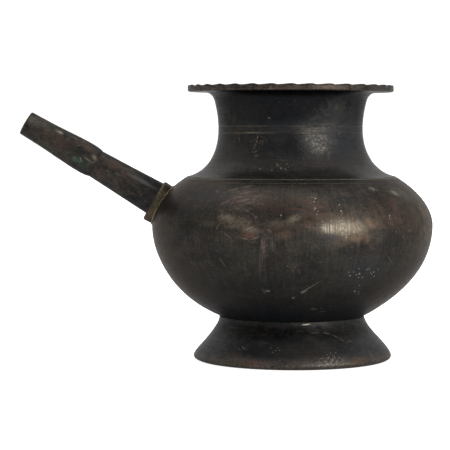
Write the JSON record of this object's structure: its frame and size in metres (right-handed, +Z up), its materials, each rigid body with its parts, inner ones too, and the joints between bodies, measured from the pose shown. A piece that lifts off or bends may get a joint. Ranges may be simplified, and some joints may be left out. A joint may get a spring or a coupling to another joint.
{
  "type": "spouted water pot",
  "caption": "Round-bellied bronze water pot with a flared foot ring, a waisted neck, a flat notched lip and a long tapered side spout.",
  "frame": {"origin": "middle of the whole pot's footprint, spout included, on the plane the foot stands on", "axes": "+Z up along the turned axis; the spout points to -X and rises; the turned axis stands at x = 0.0337 m"},
  "size_m": [0.211, 0.1436, 0.1405],
  "materials": {
    "dark_bronze": "blue-black and brown patina on turned bronze, worn through in places",
    "brown_bronze": "red-brown patina with a little green at the joint",
    "collar_bronze": "rubbed yellow-brown bronze",
    "braze": "dull golden brazing metal"
  },
  "bodies": {
    "root": {"foot_ring": "dark_bronze", "foot_braze": "braze", "bowl": "dark_bronze", "shoulder_braze": "braze", "neck": "dark_bronze", "rim_ring": "dark_bronze", "spout_braze": "braze", "spout_collar": "collar_bronze", "spout_root_tube": "brown_bronze", "spout_tip_tube": "brown_bronze"}
  },
  "joints": []
}
